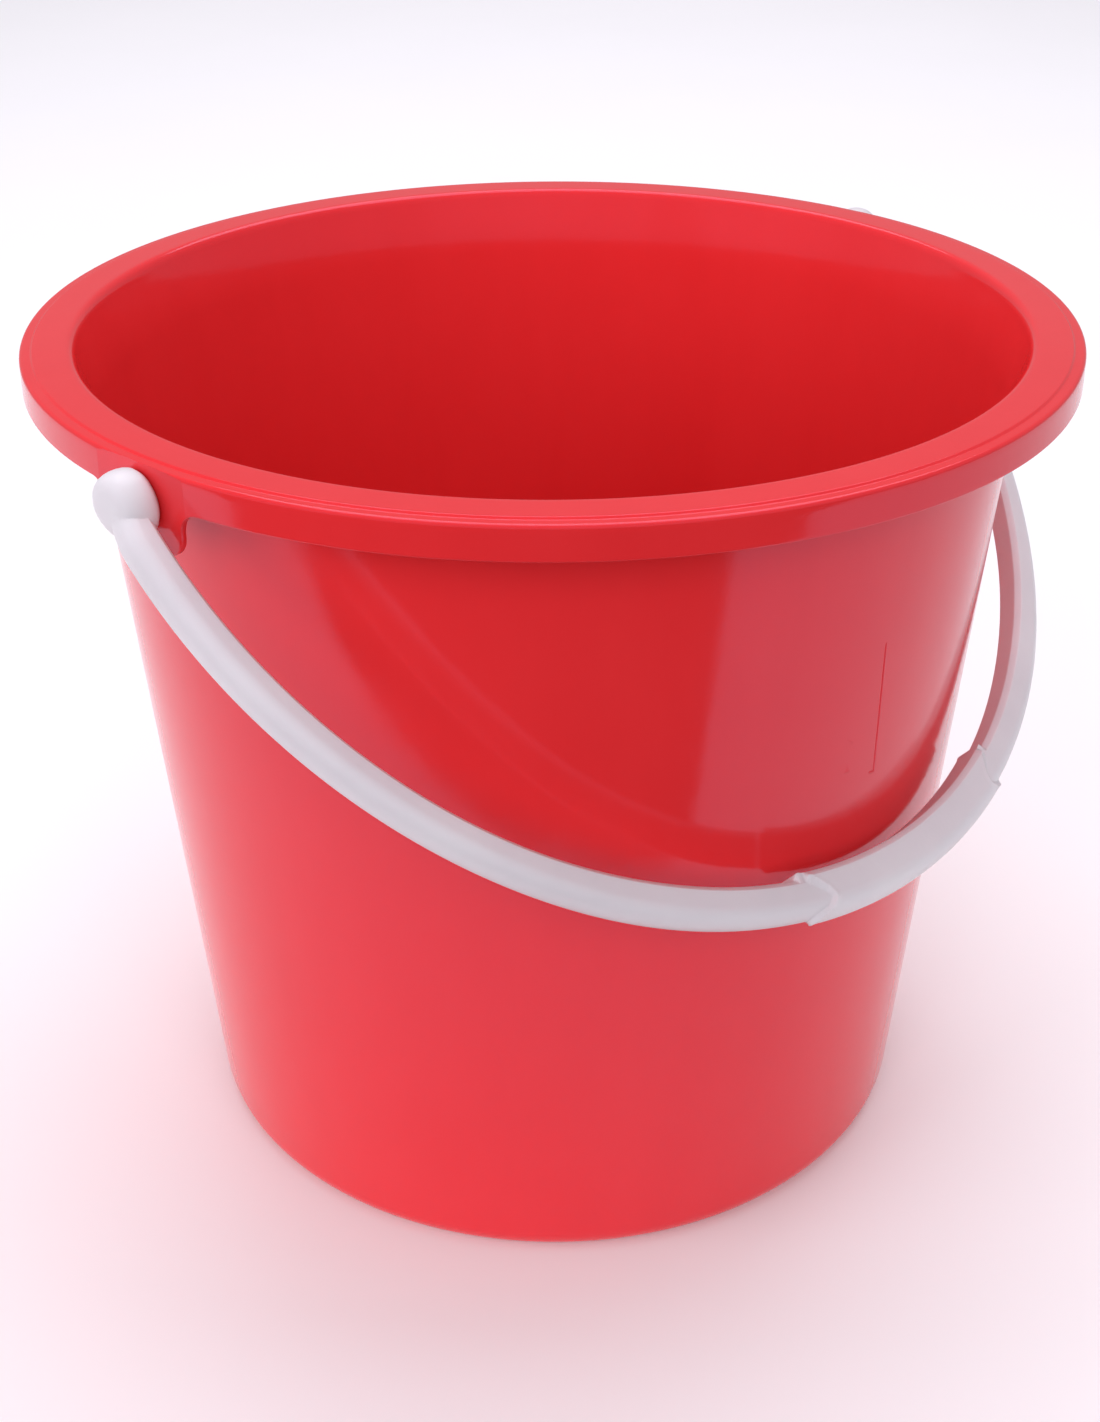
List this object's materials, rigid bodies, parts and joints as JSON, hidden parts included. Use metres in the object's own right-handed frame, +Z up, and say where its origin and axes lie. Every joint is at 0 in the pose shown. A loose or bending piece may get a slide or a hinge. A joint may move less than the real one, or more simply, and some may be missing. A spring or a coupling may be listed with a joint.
{
  "type": "bucket",
  "caption": "Open-topped tapered plastic bucket with a rolled rim, side pivot lugs and a swinging plastic bail handle with a thickened grip.",
  "frame": {"origin": "centre of the resting circle under the base, at the bottom centre of the whole object's box", "axes": "+Z up; X along the bail's pivot axis; the bail hangs down in front, on the -Y side, at rest"},
  "size_m": [0.3244, 0.3, 0.253],
  "materials": {
    "red_plastic": "glossy injection-moulded red",
    "white_plastic": "satin injection-moulded milky white"
  },
  "bodies": {
    "bucket": {"bucket_body": "red_plastic"},
    "bail": {"bail_handle": "white_plastic"}
  },
  "joints": [
    {"name": "bail_swing", "type": "hinge", "parent": "bucket", "child": "bail", "pos_m": [0, 0, 0.2436], "axis": [-1, 0, 0], "range_deg": [0, 263.2]}
  ]
}
